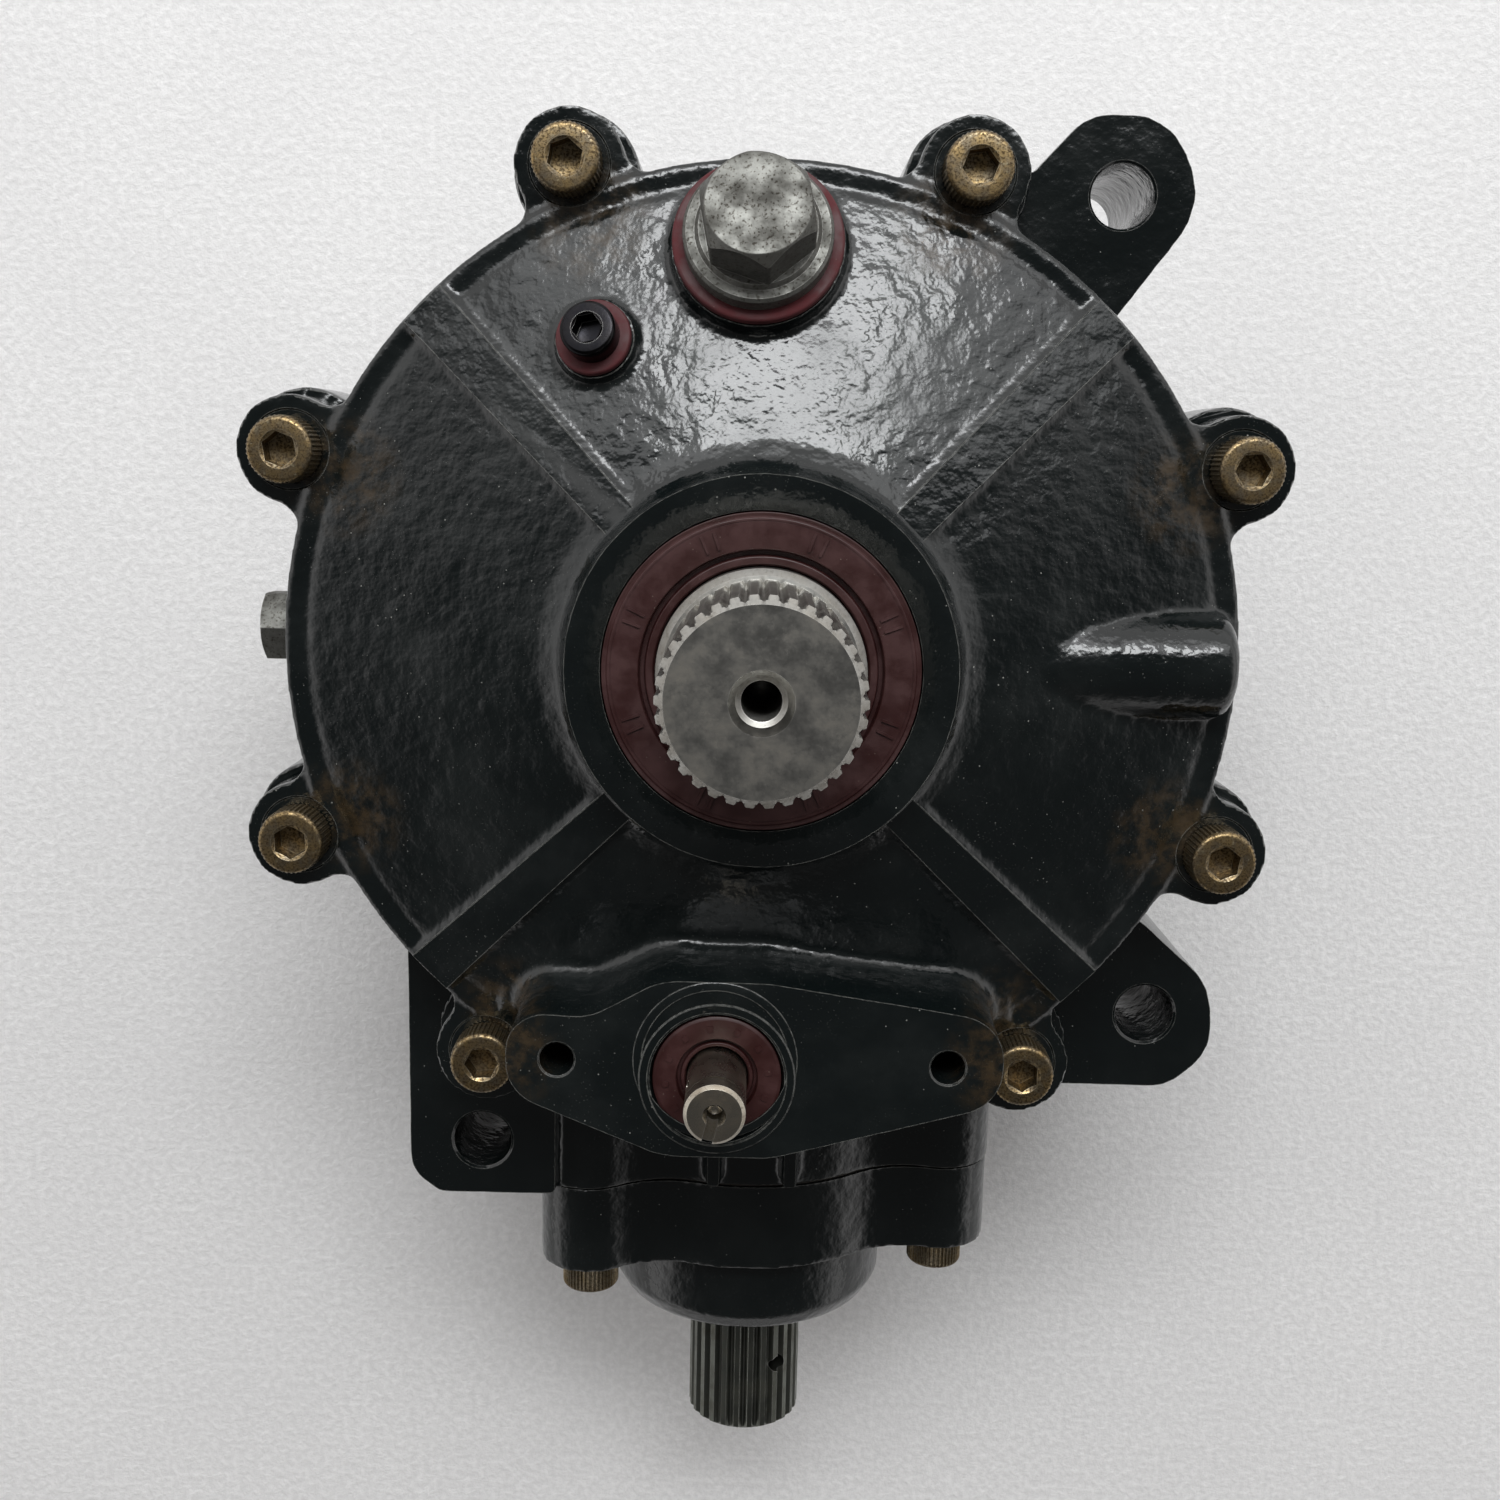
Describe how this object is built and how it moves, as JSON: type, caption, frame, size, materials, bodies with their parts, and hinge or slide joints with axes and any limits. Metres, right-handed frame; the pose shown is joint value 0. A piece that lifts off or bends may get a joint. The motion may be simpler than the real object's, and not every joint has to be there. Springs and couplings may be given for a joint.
{
  "type": "planetary gearbox",
  "caption": "Right-angle planetary reduction gearbox in a round bolted casing, with a splined output shaft on top, a splined input shaft at the side and a small selector shaft.",
  "frame": {"origin": "on the output shaft's axis, in the plane of the housing's flat back", "axes": "+Z along the output shaft out of the cover; +Y opposite the input shaft, which points along -Y; +X to the right with the output shaft facing the viewer and the input shaft down"},
  "size_m": [0.2131, 0.3106, 0.1923],
  "materials": {
    "black_paint": "gloss enamel over sand-cast aluminium",
    "gasket_paper": "matte",
    "yellow_zinc": "yellow zinc plating, worn and spotted",
    "galvanised_steel": "galvanised, dull",
    "black_oxide_steel": "black oxide, oiled",
    "red_fibre": "matte",
    "brown_seal_rubber": "satin",
    "machined_steel": "turned and ground",
    "bearing_steel": "ground",
    "gear_steel": "hobbed and hardened"
  },
  "bodies": {
    "casing": {"housing": "black_paint", "cover": "black_paint", "cover_gasket": "gasket_paper", "input_retainer": "black_paint", "retainer_gasket": "gasket_paper", "cover_bolt_1": "yellow_zinc", "cover_bolt_2": "yellow_zinc", "cover_bolt_3": "yellow_zinc", "cover_bolt_4": "yellow_zinc", "cover_bolt_5": "yellow_zinc", "cover_bolt_6": "yellow_zinc", "cover_bolt_7": "yellow_zinc", "cover_bolt_8": "yellow_zinc", "retainer_bolt_1": "yellow_zinc", "retainer_bolt_2": "yellow_zinc", "retainer_bolt_3": "yellow_zinc", "filler_plug": "galvanised_steel", "filler_washer": "red_fibre", "vent_plug": "black_oxide_steel", "vent_washer": "red_fibre", "level_plug": "galvanised_steel", "level_washer": "red_fibre", "output_seal": "brown_seal_rubber", "input_seal": "brown_seal_rubber", "selector_seal": "brown_seal_rubber", "ring_gear": "gear_steel", "output_bearing_outer": "bearing_steel", "sun_bearing_outer": "bearing_steel", "pinion_bearing_outer": "bearing_steel", "input_bearing_outer": "bearing_steel"},
    "output": {"output_shaft": "machined_steel", "carrier_plate": "machined_steel", "planet_pin_1": "bearing_steel", "planet_pin_2": "bearing_steel", "planet_pin_3": "bearing_steel", "output_bearing_inner": "bearing_steel"},
    "planet_1": {"planet_gear_1": "gear_steel"},
    "planet_2": {"planet_gear_2": "gear_steel"},
    "planet_3": {"planet_gear_3": "gear_steel"},
    "sun": {"sun_shaft": "gear_steel", "crown_wheel": "gear_steel", "sun_bearing_inner": "bearing_steel"},
    "pinion": {"pinion_shaft": "gear_steel", "pinion_bearing_inner": "bearing_steel"},
    "collar": {"dog_collar": "gear_steel"},
    "input": {"input_shaft": "machined_steel", "input_bearing_inner": "bearing_steel"},
    "selector": {"selector_shaft": "machined_steel"}
  },
  "joints": [
    {"name": "output_spin", "type": "hinge", "parent": "casing", "child": "output", "pos_m": [0, 0, 0], "axis": [0, 0, 1], "continuous": true},
    {"name": "planet_1_spin", "type": "hinge", "parent": "output", "child": "planet_1", "pos_m": [0, 0.04125, 0.1], "axis": [0, 0, 1], "continuous": true},
    {"name": "planet_2_spin", "type": "hinge", "parent": "output", "child": "planet_2", "pos_m": [-0.03572, -0.02063, 0.1], "axis": [0, 0, 1], "continuous": true},
    {"name": "planet_3_spin", "type": "hinge", "parent": "output", "child": "planet_3", "pos_m": [0.03572, -0.02063, 0.1], "axis": [0, 0, 1], "continuous": true},
    {"name": "sun_spin", "type": "hinge", "parent": "casing", "child": "sun", "pos_m": [0, 0, 0], "axis": [0, 0, 1], "continuous": true},
    {"name": "pinion_spin", "type": "hinge", "parent": "casing", "child": "pinion", "pos_m": [0, 0, 0.06], "axis": [0, 1, 0], "continuous": true},
    {"name": "input_spin", "type": "hinge", "parent": "casing", "child": "input", "pos_m": [0, 0, 0.06], "axis": [0, 1, 0], "continuous": true},
    {"name": "selector_turn", "type": "hinge", "parent": "casing", "child": "selector", "pos_m": [-0.0067, -0.078, 0.1], "axis": [0, 0, 1], "range_deg": [-1.5, 51.5]},
    {"name": "collar_slide", "type": "slide", "parent": "pinion", "child": "collar", "axis": [0, 1, 0], "range_m": [0, 0.00565]}
  ],
  "couplings": [
    {"joint": "planet_1_spin", "follows": "output_spin", "ratio": -3.2},
    {"joint": "planet_2_spin", "follows": "output_spin", "ratio": -3.2},
    {"joint": "planet_3_spin", "follows": "output_spin", "ratio": -3.2},
    {"joint": "sun_spin", "follows": "output_spin", "ratio": 3.6667},
    {"joint": "pinion_spin", "follows": "output_spin", "ratio": 9.1667},
    {"joint": "input_spin", "follows": "output_spin", "ratio": 9.1667},
    {"joint": "selector_turn", "follows": "collar_slide", "rad_per_m": 154.32}
  ]
}
